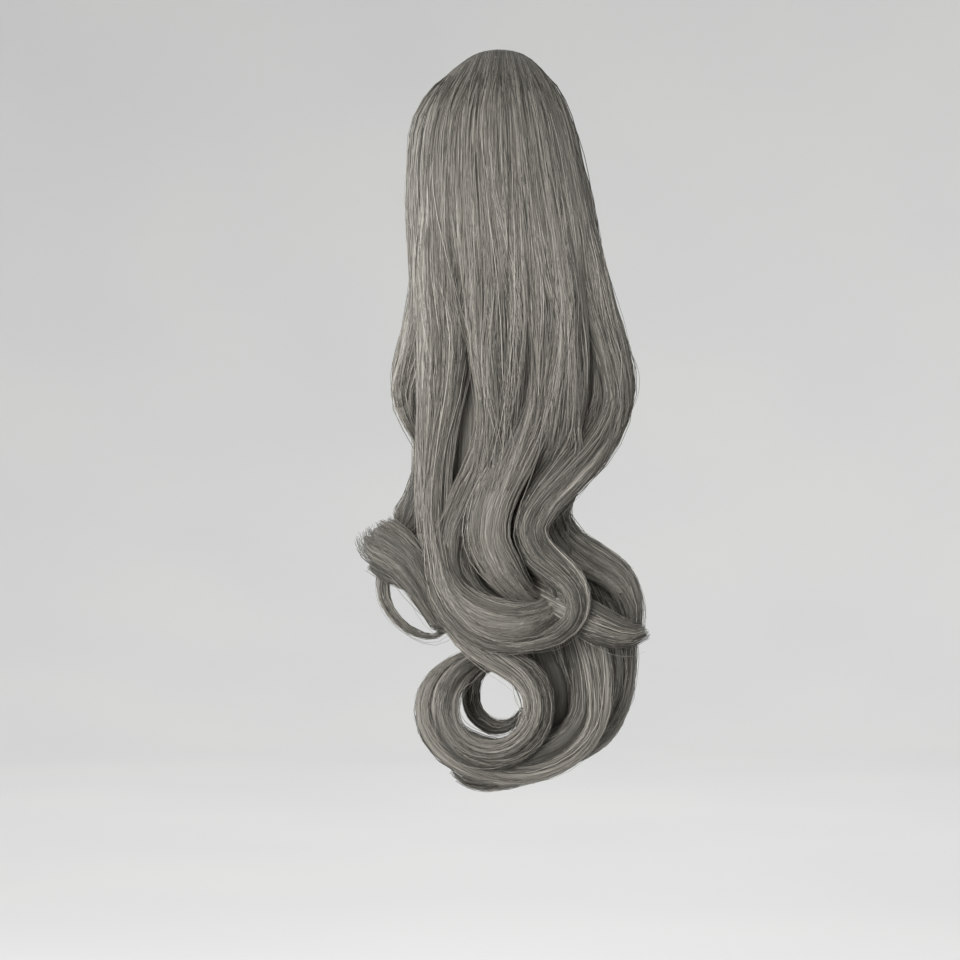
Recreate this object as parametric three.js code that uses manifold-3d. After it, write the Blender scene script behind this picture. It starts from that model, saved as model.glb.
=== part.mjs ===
// A wavy clip-on ponytail: a fall of grey synthetic hair on a plain claw clip.
// Millimetres, +Z up. The hair faces -Y and the wearer's head is on the +Y side. The origin is the
// middle of the clip's mouth, where it closes round the wearer's own gathered hair.
import * as THREE from 'three';
import { mergeVertices } from 'three/addons/utils/BufferGeometryUtils.js';
import Module from 'manifold-3d';

const wasm = await Module();
wasm.setup();

// Claw clip
const CLIP_HEIGHT = 64;
const JAW_RADIUS = 20; // outside of the two closed jaws, seen from above
const JAW_WALL = 2.6;
const MOUTH_WIDTH = 18; // between the tips of the facing teeth
const TEETH = 6; // on each jaw
const TOOTH_SHARE = 0.56; // of the pitch from tooth to tooth
const TOOTH_LENGTH = 19; // from the tip back to the solid part of the jaw
const BARREL_RADIUS = 4.4; // hinge along the clip's spine
const TAB_HEIGHT = 26; // the two finger tabs
const TAB_REACH = 20;
const TAB_SPREAD = 15;
const FIT_GAP = 0.4; // between the clip and the hair sewn round it

// Hair
const RING_STEP = 14; // spacing of the rings along a lock
const LOCK_SIDES = 8;
const CURL_STEP = 36; // degrees between the sections of a curl
const BODY_SIDES = 40;
const FLUTES = 10; // shallow ridges round the body, where locks lie side by side
const FLUTE_DEPTH = 0.018; // of the body's radius
const BODY_SQUARENESS = 0.86; // 1 is an ellipse, less is fuller at the corners
const ROOT_RISE = 46; // a lock starts this far above its first section, inside the body
const ROOT_PULL = 0.45; // this far in towards the middle of the body
const ROOT_SIZE = 0.45; // with this share of its width and thickness
const BODY_MIDDLE_OUT = 45; // from the head
const BACK_LOCKS = 6; // side by side down the head's side of the body
const BACK_TOP = -90;
const BACK_SWING = 4; // each way, from section to section
const BACK_THICK = 16;

// The crown and the body of hair under the locks, from the tip downwards: the hair leaves the clip,
// arches over and falls. Left and right are its edges seen from the front, and out is the distance
// from the head.
const BODY_COLUMNS = ['up', 'left', 'right', 'outFront', 'outBack'];
const BODY = [
  [45, -5, 5, 38, 26],
  [43.5, -12, 11, 45, 20],
  [40, -20, 19, 52, 14],
  [24, -39, 34, 67, 6],
  [0, -56, 46, 78, 3],
  [-37, -62, 57, 85, 2],
  [-90, -60, 66, 88, 8],
  [-140, -50, 68, 80, 14],
  [-190, -46, 66, 70, 18],
  [-240, -42, 42, 64, 20],
  [-275, -38, 32, 58, 22],
  [-310, -28, 56, 52, 24],
  [-345, 4, 66, 46, 28],
];

// The locks that the front shows. A row is one section: its middle across, up and out from the
// head, how wide the lock is there and how thick. A lock may end in a curl, a spiral about a centre
// that starts from the last row: sweep is in degrees, counter-clockwise from the front, and flat is
// its height over its width.
const LOCK_COLUMNS = ['across', 'up', 'out', 'wide', 'thick'];
const LOCKS = {
  left_lobe: {
    rows: [
      [-43, -90, 50, 29, 24],
      [-51, -130, 50, 27, 24],
      [-60, -164, 48, 28, 22],
      [-61, -182, 47, 26, 20],
      [-57, -200, 46, 20, 14],
      [-53, -217, 45, 6, 6],
    ],
  },
  left_column: {
    rows: [
      [-40, -90, 70, 37, 26],
      [-36, -137, 72, 35, 26],
      [-38, -174, 72, 31, 26],
      [-42, -222, 67, 25, 24],
      [-43, -271, 62, 21, 22],
      [-40, -297, 66, 21, 20],
    ],
    curl: { across: 6, up: -299, out: 72, radius: 35, sweep: 205, flat: 1, wide: 8, thick: 8 },
    bulge: { out: 16, wide: 19 },
  },
  centre_left: {
    rows: [
      [-8, -90, 80, 35, 26],
      [-3, -137, 80, 36, 26],
      [0, -177, 78, 32, 26],
      [-2, -207, 74, 28, 24],
      [-11, -234, 72, 24, 22],
      [-24, -257, 70, 21, 20],
      [-31, -281, 70, 20, 20],
      [-29, -301, 70, 19, 18],
      [-16, -319, 72, 15, 14],
      [4, -327, 72, 9, 10],
    ],
  },
  centre_wave: {
    rows: [
      [20, -90, 76, 32, 26],
      [24, -137, 72, 31, 26],
      [27, -177, 68, 29, 26],
      [20, -207, 70, 29, 24],
      [7, -236, 76, 28, 24],
      [-5, -261, 80, 27, 22],
      [-9, -284, 82, 28, 22],
      [-1, -305, 80, 28, 22],
      [15, -322, 72, 23, 18],
      [32, -329, 64, 9, 10],
    ],
  },
  right_inner: {
    rows: [
      [41, -90, 74, 31, 26],
      [40, -144, 76, 32, 26],
      [41, -184, 76, 31, 26],
      [40, -212, 70, 27, 24],
      [29, -237, 64, 23, 22],
      [16, -261, 62, 21, 20],
      [13, -281, 62, 20, 20],
      [23, -299, 66, 17, 18],
      [37, -315, 70, 13, 14],
      [41, -332, 70, 5, 8],
    ],
  },
  right_wave: {
    rows: [
      [57, -90, 62, 28, 26],
      [65, -130, 62, 31, 28],
      [71, -164, 62, 33, 28],
      [71, -192, 64, 32, 26],
      [61, -217, 70, 29, 24],
      [44, -240, 74, 27, 22],
      [27, -261, 74, 23, 20],
      [19, -279, 70, 19, 18],
      [25, -296, 66, 15, 16],
      [37, -311, 62, 8, 10],
    ],
  },
  right_tail: {
    rows: [
      [63, -104, 42, 24, 24],
      [73, -144, 40, 25, 24],
      [76, -184, 40, 25, 24],
      [66, -212, 42, 24, 24],
      [44, -238, 44, 23, 22],
      [32, -262, 46, 22, 22],
      [42, -282, 48, 23, 22],
      [63, -297, 50, 27, 22],
      [81, -316, 54, 27, 20],
      [89, -336, 60, 23, 18],
      [87, -353, 68, 19, 14],
      [70, -360, 74, 15, 12],
      [50, -356, 74, 7, 8],
    ],
  },
  lower_ring: {
    rows: [
      [-40, -204, 40, 24, 24],
      [-41, -251, 42, 24, 24],
      [-41, -297, 50, 23, 22],
      [-35, -328, 60, 23, 20],
      [-17, -351, 68, 24, 18],
      [8, -367, 72, 24, 16],
    ],
    curl: { across: -5, up: -394, out: 50, radius: 26, sweep: -300, flat: 1, wide: 8, thick: 8 },
    bulge: { out: 4, wide: 6 },
  },
  inner_fall: {
    rows: [
      [22, -290, 42, 30, 22],
      [30, -345, 46, 34, 22],
      [37, -382, 48, 36, 20],
      [30, -412, 48, 22, 16],
    ],
  },
  outer_ring: {
    rows: [
      [34, -204, 44, 27, 24],
      [26, -257, 44, 27, 24],
      [36, -304, 46, 28, 24],
      [51, -337, 52, 29, 22],
      [60, -368, 58, 29, 20],
      [61, -391, 60, 28, 20],
    ],
    curl: { across: 6, up: -395, out: 40, radius: 50, sweep: -250, flat: 0.75, wide: 6, thick: 6 },
    bulge: { out: 4, wide: 8 },
  },
  right_back: {
    rows: [
      [50, -204, 34, 27, 24],
      [28, -257, 34, 25, 24],
      [50, -296, 34, 27, 24],
      [74, -340, 36, 27, 22],
      [76, -384, 36, 25, 20],
      [67, -414, 38, 23, 18],
      [47, -434, 40, 19, 16],
      [20, -443, 40, 12, 12],
    ],
  },
  bottom_tip: {
    rows: [
      [40, -297, 36, 23, 22],
      [53, -351, 36, 23, 22],
      [56, -397, 36, 21, 20],
      [43, -428, 38, 20, 18],
      [20, -444, 40, 17, 16],
      [-4, -447, 42, 16, 16],
      [-21, -442, 42, 12, 12],
      [-32, -431, 40, 5, 8],
    ],
  },
  left_curl: {
    rows: [
      [-45, -190, 34, 23, 22],
      [-44, -244, 36, 23, 22],
      [-36, -297, 46, 20, 20],
      [-31, -324, 56, 17, 18],
      [-40, -329, 62, 16, 16],
      [-53, -315, 62, 19, 16],
      [-67, -299, 60, 23, 16],
      [-80, -289, 56, 24, 18],
      [-90, -286, 52, 20, 16],
    ],
  },
  left_turn: {
    rows: [
      [-44, -204, 32, 20, 18],
      [-46, -244, 32, 22, 18],
      [-52, -274, 36, 36, 18],
      [-67, -281, 42, 28, 18],
      [-81, -288, 48, 22, 16],
      [-89, -293, 52, 14, 14],
    ],
  },
  left_loop: {
    rows: [
      [-43, -217, 26, 17, 18],
      [-48, -257, 26, 15, 16],
      [-64, -287, 28, 11, 12],
      [-74, -305, 30, 9, 10],
      [-72, -322, 34, 9, 10],
      [-59, -337, 38, 9, 10],
      [-41, -345, 42, 5, 8],
    ],
  },
};

// Shapes

// The rows of a table as objects, one property for each column.
function table(columns, rows) {
  return rows.map((row) => Object.fromEntries(columns.map((name, i) => [name, row[i]])));
}

// A closed body through rings of points with the same count, capped on its first and last ring.
// Each ring runs counter-clockwise seen from the ring after it.
function loft(rings) {
  const sides = rings[0].length;
  const last = rings.length - 1;
  const middle = (ring) =>
    ring.reduce((sum, p) => sum.add(p), new THREE.Vector3()).divideScalar(sides);
  const points = [...rings.flat(), middle(rings[0]), middle(rings[last])];
  const [firstCap, lastCap] = [points.length - 2, points.length - 1];
  const faces = [];
  for (let j = 0; j < sides; j++) {
    const k = (j + 1) % sides;
    for (let i = 0; i < last; i++) {
      const [a, b] = [i * sides, (i + 1) * sides];
      faces.push(a + j, a + k, b + k, a + j, b + k, b + j);
    }
    faces.push(firstCap, k, j, lastCap, last * sides + j, last * sides + k);
  }
  return new THREE.BufferGeometry().setFromPoints(points).setIndex(faces);
}

function solidOf(geometry) {
  const bare = geometry.clone();
  bare.deleteAttribute('normal');
  bare.deleteAttribute('uv');
  const merged = mergeVertices(bare, 1e-4);
  const mesh = new wasm.Mesh({
    numProp: 3,
    vertProperties: merged.attributes.position.array,
    triVerts: new Uint32Array(merged.index.array),
  });
  return new wasm.Manifold(mesh);
}

function geometryOf(solid) {
  const { vertProperties, triVerts } = solid.getMesh();
  const geometry = new THREE.BufferGeometry();
  geometry.setAttribute('position', new THREE.BufferAttribute(vertProperties, 3));
  geometry.setIndex(new THREE.BufferAttribute(triVerts, 1));
  geometry.computeVertexNormals();
  return geometry;
}

// An outline in plan, extruded up and down from z = 0.
function prism(outline, height) {
  const geometry = new THREE.ExtrudeGeometry(new THREE.Shape(outline), {
    depth: height,
    bevelEnabled: false,
  });
  return solidOf(geometry.translate(0, 0, -height / 2));
}

// Claw clip

const jawCentre = new THREE.Vector2(0, -JAW_RADIUS * Math.cos(Math.asin(MOUTH_WIDTH / 2 / JAW_RADIUS)));
const jawEnd = Math.acos(MOUTH_WIDTH / 2 / JAW_RADIUS); // angle of the tooth tips above the X axis
const spine = jawCentre.y - JAW_RADIUS;

function planArc(radius, from, to, steps) {
  return Array.from({ length: steps + 1 }, (_, i) => {
    const angle = from + ((to - from) * i) / steps;
    return new THREE.Vector2(
      jawCentre.x + radius * Math.cos(angle),
      jawCentre.y + radius * Math.sin(angle),
    );
  });
}

// Both jaws as one C-shaped wall, open towards the head, with slots that leave the teeth.
function jaws() {
  const steps = 24;
  const [from, to] = [jawEnd, -Math.PI - jawEnd];
  const wall = [
    ...planArc(JAW_RADIUS, from, to, steps),
    ...planArc(JAW_RADIUS - JAW_WALL, to, from, steps),
  ];
  const pitch = CLIP_HEIGHT / (TEETH - 1 + TOOTH_SHARE);
  const slotHeight = pitch * (1 - TOOTH_SHARE);
  const slotBack = -TOOTH_LENGTH;
  let jaw = prism(wall, CLIP_HEIGHT);
  for (let i = 0; i < TEETH - 1; i++) {
    const z = -CLIP_HEIGHT / 2 + pitch * (i + 1) - slotHeight / 2;
    const slot = new THREE.BoxGeometry(4 * JAW_RADIUS, 2 * TOOTH_LENGTH, slotHeight);
    jaw = jaw.subtract(solidOf(slot.translate(0, slotBack + TOOTH_LENGTH, z)));
  }
  return jaw;
}

function barrel() {
  const cylinder = new THREE.CylinderGeometry(BARREL_RADIUS, BARREL_RADIUS, CLIP_HEIGHT * 0.7, 16);
  return solidOf(cylinder.rotateX(Math.PI / 2).translate(0, spine, 0));
}

// A finger tab that leans out from the hinge on one side, -1 or 1.
function fingerTab(side) {
  const lean = new THREE.Vector2(TAB_SPREAD, -TAB_REACH).normalize();
  const across = new THREE.Vector2(-lean.y, lean.x).multiplyScalar(JAW_WALL / 2);
  const root = new THREE.Vector2(0, spine);
  const end = root.clone().addScaledVector(lean, Math.hypot(TAB_SPREAD, TAB_REACH));
  const outline = [
    root.clone().sub(across),
    end.clone().sub(across),
    end.clone().add(across),
    root.clone().add(across),
  ].map((p) => new THREE.Vector2(p.x * side, p.y));
  return prism(side > 0 ? outline : outline.reverse(), TAB_HEIGHT);
}

function clawClip() {
  return jaws().add(barrel()).add(fingerTab(-1)).add(fingerTab(1));
}

// The room that the clip takes up in the hair, open towards the head.
function clipPocket() {
  const reach = JAW_RADIUS + FIT_GAP;
  const mouth = reach * 0.9;
  const round = planArc(reach, 0.2, -Math.PI - 0.2, 20);
  const jawRoom = [new THREE.Vector2(mouth, JAW_RADIUS), ...round, new THREE.Vector2(-mouth, JAW_RADIUS)];
  const tabRoom = [
    new THREE.Vector2(-TAB_SPREAD - 1.5 * JAW_WALL, spine - TAB_REACH - JAW_WALL),
    new THREE.Vector2(TAB_SPREAD + 1.5 * JAW_WALL, spine - TAB_REACH - JAW_WALL),
    new THREE.Vector2(BARREL_RADIUS + FIT_GAP, spine + BARREL_RADIUS),
    new THREE.Vector2(-BARREL_RADIUS - FIT_GAP, spine + BARREL_RADIUS),
  ];
  const barrelRoom = new THREE.CylinderGeometry(
    BARREL_RADIUS + FIT_GAP,
    BARREL_RADIUS + FIT_GAP,
    CLIP_HEIGHT + 2 * FIT_GAP,
    16,
  );
  return prism(jawRoom, CLIP_HEIGHT + 2 * FIT_GAP)
    .add(prism(tabRoom, TAB_HEIGHT + 2 * FIT_GAP))
    .add(solidOf(barrelRoom.rotateX(Math.PI / 2).translate(0, spine, 0)));
}

// Hair

// The crown and the body below it, one fluted ring for each section, from the bottom up.
function body() {
  const power = (value) => Math.sign(value) * Math.abs(value) ** BODY_SQUARENESS;
  const rings = table(BODY_COLUMNS, BODY).map((section) => {
    const middle = new THREE.Vector2(
      (section.left + section.right) / 2,
      -(section.outFront + section.outBack) / 2,
    );
    const half = new THREE.Vector2(
      (section.right - section.left) / 2,
      (section.outFront - section.outBack) / 2,
    );
    return Array.from({ length: BODY_SIDES }, (_, j) => {
      const angle = (2 * Math.PI * j) / BODY_SIDES;
      const swell = 1 + FLUTE_DEPTH * Math.cos(FLUTES * angle);
      return new THREE.Vector3(
        middle.x + half.x * power(Math.cos(angle)) * swell,
        middle.y + half.y * power(Math.sin(angle)) * swell,
        section.up,
      );
    });
  });
  return solidOf(loft(rings.reverse()));
}

// A lock's sections from its root to its tip, with the sections of its curl worked out.
function sectionsOf({ rows, curl, bulge }) {
  const sections = table(LOCK_COLUMNS, rows);
  const first = sections[0];
  sections.unshift({
    across: first.across * 0.9,
    up: first.up + ROOT_RISE,
    out: THREE.MathUtils.lerp(first.out, BODY_MIDDLE_OUT, ROOT_PULL),
    wide: first.wide * ROOT_SIZE,
    thick: first.thick * ROOT_SIZE,
  });
  if (!curl) return sections;
  const start = sections.at(-1);
  const arm = new THREE.Vector2(start.across - curl.across, (start.up - curl.up) / curl.flat);
  const steps = Math.ceil(Math.abs(curl.sweep) / CURL_STEP);
  for (let i = 1; i <= steps; i++) {
    const share = i / steps;
    const mix = (name) => THREE.MathUtils.lerp(start[name], curl[name], share ** 1.5);
    const swell = Math.sin(Math.PI * share);
    const angle = arm.angle() + THREE.MathUtils.degToRad(curl.sweep) * share;
    const radius = THREE.MathUtils.lerp(arm.length(), curl.radius, share);
    sections.push({
      across: curl.across + radius * Math.cos(angle),
      up: curl.up + radius * Math.sin(angle) * curl.flat,
      out: mix('out') + bulge.out * swell,
      wide: mix('wide') + bulge.wide * swell,
      thick: mix('thick'),
    });
  }
  return sections;
}

// One lock: oval rings along a smooth curve through its sections. The ring's wide side starts along
// X and turns with the curve as little as it can.
function lock(shape) {
  const sections = sectionsOf(shape);
  const curve = new THREE.CatmullRomCurve3(
    sections.map((s) => new THREE.Vector3(s.across, -s.out, s.up)),
  );
  const spans = sections.length - 1;
  const rings = [];
  const wideWay = new THREE.Vector3(1, 0, 0);
  const addRing = (span, share) => {
    const t = (span + share) / spans;
    const [here, next] = [sections[span], sections[Math.min(span + 1, spans)]];
    const middle = curve.getPoint(t);
    const along = curve.getTangent(t);
    wideWay.addScaledVector(along, -wideWay.dot(along)).normalize();
    const thickWay = along.clone().cross(wideWay);
    const wide = THREE.MathUtils.lerp(here.wide, next.wide, share) / 2;
    const thick = THREE.MathUtils.lerp(here.thick, next.thick, share) / 2;
    const ring = Array.from({ length: LOCK_SIDES }, (_, j) => {
      const angle = (2 * Math.PI * (j + 0.5)) / LOCK_SIDES;
      return middle
        .clone()
        .addScaledVector(wideWay, wide * Math.cos(angle))
        .addScaledVector(thickWay, thick * Math.sin(angle));
    });
    rings.push(ring);
  };
  for (let span = 0; span < spans; span++) {
    const length = curve.getPoint(span / spans).distanceTo(curve.getPoint((span + 1) / spans));
    const steps = Math.max(1, Math.round(length / RING_STEP));
    for (let i = 0; i < steps; i++) addRing(span, i / steps);
  }
  addRing(spans, 0);
  return solidOf(loft(rings));
}

// A plain lock down the back, a share of the way along each section of the body, with a thin tip.
function backLock(index) {
  const sections = table(BODY_COLUMNS, BODY).filter((section) => section.up <= BACK_TOP);
  const rows = sections.map(({ up, left, right, outBack }, i) => {
    const share = (index + 0.5) / BACK_LOCKS;
    const wave = BACK_SWING * Math.sin(2 * i + index);
    const taper = i < sections.length - 1 ? 1 : 0.4;
    const wide = (1.3 * (right - left)) / BACK_LOCKS;
    return [
      THREE.MathUtils.lerp(left, right, share) + wave,
      up,
      outBack + BACK_THICK / 4 - wave / 2,
      wide * taper,
      BACK_THICK * taper,
    ];
  });
  return lock({ rows });
}

// All the locks fused to the body, less the room for the clip. Sealed pockets between locks are
// filled by keeping only the outer surface.
function hair() {
  const locks = Object.values(LOCKS).map(lock);
  const backLocks = Array.from({ length: BACK_LOCKS }, (_, index) => backLock(index));
  const fused = [...locks, ...backLocks].reduce((sum, solid) => sum.add(solid), body());
  const shells = fused.subtract(clipPocket()).decompose();
  return shells.reduce((best, shell) => (shell.volume() > best.volume() ? shell : best));
}

// Assembly

function part(name, solid, colour, roughness) {
  const material = new THREE.MeshStandardMaterial({ color: colour, roughness, metalness: 0 });
  const mesh = new THREE.Mesh(geometryOf(solid), material);
  mesh.name = name;
  return mesh;
}

const ponytail = new THREE.Group();
ponytail.add(part('hair', hair(), 0x8b8681, 0.45));
ponytail.add(part('claw_clip', clawClip(), 0x3a3836, 0.4));

export default ponytail;
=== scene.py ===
# Clip-on ponytail: a fall of ash grey wavy fibre on a claw clip, hung as it is worn
import math
import bpy
import numpy as np
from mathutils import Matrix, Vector
from mathutils.bvhtree import BVHTree


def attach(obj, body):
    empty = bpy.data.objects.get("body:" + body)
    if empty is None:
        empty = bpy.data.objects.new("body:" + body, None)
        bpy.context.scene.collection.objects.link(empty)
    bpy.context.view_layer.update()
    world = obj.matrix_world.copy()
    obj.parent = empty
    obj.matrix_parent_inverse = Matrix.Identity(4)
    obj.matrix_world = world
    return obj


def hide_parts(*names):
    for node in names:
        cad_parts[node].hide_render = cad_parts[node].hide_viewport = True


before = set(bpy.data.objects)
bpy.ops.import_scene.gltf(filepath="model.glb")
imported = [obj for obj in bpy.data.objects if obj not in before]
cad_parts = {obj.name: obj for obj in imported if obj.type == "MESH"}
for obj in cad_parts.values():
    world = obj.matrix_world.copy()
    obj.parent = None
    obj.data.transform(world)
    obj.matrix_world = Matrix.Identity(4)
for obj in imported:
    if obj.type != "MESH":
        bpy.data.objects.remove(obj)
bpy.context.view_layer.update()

mm = 0.001
rng = np.random.default_rng(11)

# body of the hair, from the tip of the crown down, in mm: up, left edge, right edge, and how far
# its front and back stand out from the tips of the clip's teeth
bodyRows = np.array([
    (45, -5, 5, 38, 26),
    (43.5, -12, 11, 45, 20),
    (40, -20, 19, 52, 14),
    (24, -39, 34, 67, 6),
    (0, -56, 46, 78, 3),
    (-37, -62, 57, 85, 2),
    (-90, -60, 66, 88, 8),
    (-140, -55, 68, 80, 14),
    (-190, -46, 66, 70, 18),
    (-240, -42, 42, 64, 20),
    (-275, -38, 32, 58, 22),
    (-310, -28, 56, 52, 24),
    (-345, 4, 66, 46, 28),
    (-362, 20, 54, 43, 32),
    (-370, 33, 43, 39, 36),
])

# locks seen from the front, in mm: a row is across, up, out from the teeth, wide, thick. A curl goes
# on from the last row round its own middle, turn in degrees. Crown locks start over the clip. A lock's
# shade is a tone added to all its fibre, partly its own tone and partly painted shade: darker where it
# lies in a hollow, a gap or under another lock, or where a lamp lights it too much, lighter on the left
# column and the outer ring. Mixed is the spread of its parts' tones, contrast the strength of its clumps.
locks = {
    "leftLobe": dict(crown=True, strands=200, spread=(-5, 12), rows=[
        (-43, -90, 50, 29, 24), (-50, -130, 50, 27, 24), (-57, -162, 48, 27, 22),
        (-61, -186, 47, 26, 20), (-58, -204, 46, 20, 14), (-53, -219, 45, 6, 6)]),
    "leftColumn": dict(crown=True, strands=330, paintedShadeAndTone=0.06, contrast=1.4, rows=[
        (-40, -90, 70, 37, 26), (-36, -137, 72, 35, 26), (-38, -174, 72, 31, 26),
        (-42, -222, 67, 25, 24), (-43, -271, 62, 21, 22), (-40, -297, 66, 21, 20)],
        curl=dict(across=6, up=-299, out=52, radius=42, turn=184, flat=1, wide=8, thick=8),
        bulge=dict(out=16, wide=19)),
    "centreLeft": dict(crown=True, strands=280, paintedShadeAndTone=-0.14, rows=[
        (-8, -90, 80, 35, 26), (-3, -137, 80, 36, 26), (0, -177, 78, 32, 26), (-2, -207, 74, 28, 24),
        (-11, -234, 72, 24, 22), (-24, -257, 70, 21, 20), (-31, -281, 70, 20, 20),
        (-29, -301, 70, 19, 18), (-16, -319, 72, 15, 14), (4, -327, 72, 9, 10)]),
    "centreWave": dict(crown=True, strands=300, contrast=1.4, rows=[
        (20, -90, 76, 32, 26), (24, -137, 72, 31, 26), (27, -177, 68, 29, 26), (20, -207, 70, 29, 24),
        (7, -236, 76, 28, 24), (-5, -261, 80, 27, 22), (-9, -284, 82, 28, 22), (-1, -305, 80, 28, 22),
        (15, -322, 72, 23, 18), (32, -329, 64, 9, 10)]),
    # painted shade: the shaded middle between the waves
    "rightInner": dict(crown=True, strands=240, paintedShadeAndTone=-0.3, rows=[
        (41, -90, 74, 31, 26), (40, -144, 76, 32, 26), (41, -184, 76, 31, 26), (40, -212, 70, 27, 24),
        (29, -237, 64, 23, 22), (16, -261, 62, 21, 20), (13, -281, 62, 20, 20), (23, -299, 66, 17, 18),
        (37, -315, 70, 13, 14), (41, -332, 70, 5, 8)]),
    "rightWave": dict(crown=True, strands=340, tip=0.2, contrast=1.4, rows=[
        (53, -90, 62, 26, 26), (62, -130, 62, 30, 28), (70, -164, 62, 33, 28), (71, -192, 64, 32, 26),
        (61, -217, 70, 29, 24), (44, -240, 75, 27, 22), (28, -259, 77, 23, 19), (20, -276, 79, 21, 17),
        (25, -291, 81, 20, 15), (37, -302, 83, 19, 14), (48, -315, 84, 19, 14), (50, -331, 85, 18, 13),
        (39, -345, 85, 16, 12), (18, -352, 84, 14, 10), (-6, -351, 82, 8, 8)]),
    # painted shade: kept down where the right lamp lights it
    "rightTail": dict(crown=True, strands=260, partSize=0.64, paintedShadeAndTone=-0.18, rows=[
        (57, -104, 42, 24, 24), (69, -144, 40, 25, 24), (76, -184, 40, 25, 24), (66, -212, 42, 24, 24),
        (47, -238, 44, 23, 22), (36, -262, 46, 22, 22), (41, -282, 48, 21, 22), (60, -298, 50, 24, 20),
        (80, -312, 54, 27, 20), (88, -330, 57, 25, 18), (89, -346, 60, 20, 13), (87, -357, 61, 12, 9)]),
    "lowerRing": dict(crown=False, strands=260, tip=0.05, partSize=0.4, mixed=0.3, contrast=2.2, rows=[
        (-40, -204, 40, 24, 24), (-41, -251, 42, 24, 24), (-41, -297, 50, 23, 22),
        (-35, -328, 60, 23, 20), (-17, -351, 68, 22, 18), (9, -367, 72, 20, 16)],
        curl=dict(across=-5, up=-395, out=50, radius=31, turn=-336, flat=1, wide=13, thick=12),
        bulge=dict(out=4, wide=3)),
    # painted shade: the dark gap behind the rings
    "innerFall": dict(crown=False, strands=180, tip=0.06, paintedShadeAndTone=-0.38, rows=[
        (22, -290, 42, 30, 22), (30, -345, 46, 34, 22), (37, -382, 48, 36, 20), (32, -420, 48, 28, 16)]),
    "outerRing": dict(crown=False, strands=280, tip=0.08, partSize=0.42, paintedShadeAndTone=0.05, mixed=0.3, contrast=2.2,
                      rows=[
        (34, -204, 44, 27, 24), (26, -257, 44, 27, 24), (36, -304, 46, 28, 24), (51, -337, 52, 29, 22),
        (60, -368, 58, 29, 20), (61, -391, 60, 28, 20)],
        curl=dict(across=6, up=-393, out=40, radius=50, turn=-250, flat=0.74, wide=13, thick=9),
        bulge=dict(out=4, wide=8)),
    "rightBack": dict(crown=False, strands=240, paintedShadeAndTone=-0.12, rows=[
        (50, -204, 34, 27, 24), (28, -257, 34, 25, 24), (50, -296, 34, 27, 24), (74, -340, 36, 27, 22),
        (76, -382, 36, 25, 20), (66, -409, 38, 23, 18), (46, -428, 40, 19, 16), (20, -439, 40, 12, 12)]),
    "bottomTip": dict(crown=False, strands=200, rows=[
        (40, -297, 36, 23, 22), (53, -351, 36, 23, 22), (56, -394, 36, 21, 20), (43, -422, 38, 20, 18),
        (22, -439, 40, 17, 16), (2, -446, 42, 16, 16), (-13, -448, 42, 14, 12), (-24, -446, 41, 9, 9),
        (-33, -439, 40, 4, 6)]),
    "leftCurl": dict(crown=False, strands=300, blunt=True, paintedShadeAndTone=-0.24, partSize=0.72, rows=[
        (-45, -190, 34, 23, 22), (-44, -244, 36, 23, 22), (-36, -297, 46, 21, 20),
        (-31, -328, 56, 17, 16), (-37, -339, 61, 13, 14), (-44, -331, 64, 12, 13), (-51, -315, 65, 17, 15),
        (-61, -298, 63, 22, 17), (-72, -288, 59, 25, 17), (-80, -283, 53, 25, 14), (-84, -280, 44, 23, 11),
        (-85, -278, 35, 18, 8)]),
    # painted shade: the dark underside of the curl's end
    "curlUnder": dict(crown=False, strands=60, parts=4, root=False, blunt=True, paintedShadeAndTone=-0.35, rows=[
        (-54, -315, 52, 9, 6), (-64, -309, 50, 13, 8), (-75, -303, 47, 16, 9), (-87, -297, 44, 14, 8)]),
    # painted shade: the hollow behind the curl's band
    "leftTurn": dict(crown=False, strands=160, paintedShadeAndTone=-0.3, rows=[
        (-44, -204, 32, 20, 18), (-47, -242, 32, 26, 18), (-52, -268, 36, 34, 18),
        (-61, -281, 42, 30, 16), (-71, -285, 46, 20, 12), (-78, -286, 48, 10, 8)]),
    # painted shade: the flick's start, seen through a gap
    "flick": dict(crown=False, strands=170, blunt=True, root=False, paintedShadeAndTone=-0.32, rows=[
        (4, -302, 44, 12, 8), (24, -315, 58, 18, 12), (44, -326, 70, 28, 16), (62, -337, 73, 26, 15),
        (79, -345, 72, 19, 12), (91, -346, 71, 12, 9), (98, -343, 70, 8, 6)]),
    # painted shade: dark wisps inside the ring's hole
    "ringInside": dict(crown=False, strands=90, parts=7, partSize=0.15, root=False, paintedShadeAndTone=-0.3, rows=[
        (6, -368, 40, 6, 5), (-12, -372, 32, 12, 6), (-20, -386, 28, 20, 6), (-17, -402, 28, 21, 6),
        (-4, -411, 30, 18, 6), (9, -408, 34, 11, 5), (18, -396, 40, 6, 4)]),
    "leftLoop": dict(crown=False, strands=100, parts=5, partSize=0.19, rows=[
        (-43, -217, 26, 17, 18), (-48, -257, 26, 15, 16), (-66, -287, 28, 13, 12), (-78, -306, 30, 13, 10),
        (-77, -326, 34, 13, 10), (-63, -343, 38, 12, 10), (-45, -349, 44, 9, 8), (-33, -342, 50, 5, 6)]),
}
squareness = 0.86  # of the body's section, 1 is an ellipse
curveStep = dict(body=3, lock=4)  # mm between samples


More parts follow.
